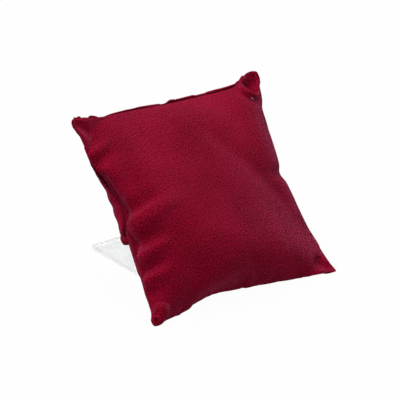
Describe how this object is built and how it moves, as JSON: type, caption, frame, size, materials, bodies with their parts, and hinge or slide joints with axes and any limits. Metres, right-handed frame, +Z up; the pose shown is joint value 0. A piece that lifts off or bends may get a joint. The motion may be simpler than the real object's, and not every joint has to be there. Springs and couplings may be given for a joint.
{
  "type": "display cushion on easel",
  "caption": "Square stuffed velvet display cushion that leans back on a bent clear acrylic easel, whose upright slips into a pocket sewn over the cushion's back.",
  "frame": {"origin": "on the table, at the centre of the footprint", "axes": "+Z up, +X along the cushion's lower edge, +Y to the back, so the cushion's face looks towards -Y and up"},
  "size_m": [0.1024, 0.0832, 0.0768],
  "materials": {
    "clear_acrylic": "polished",
    "velvet": "matte",
    "thread": "satin",
    "fibre": "matte"
  },
  "bodies": {
    "easel": {"acrylic_easel": "clear_acrylic"},
    "cushion": {"front_panel": "velvet", "back_panel": "velvet", "pocket_panel": "velvet", "fibre_filling": "fibre", "seam_stitches": "thread", "hem_stitches": "thread", "closing_stitches": "thread"}
  },
  "joints": [
    {"name": "cushion_lift", "type": "slide", "parent": "easel", "child": "cushion", "axis": [0, 0.6225, 0.7826], "range_m": [0, 0.08]}
  ]
}
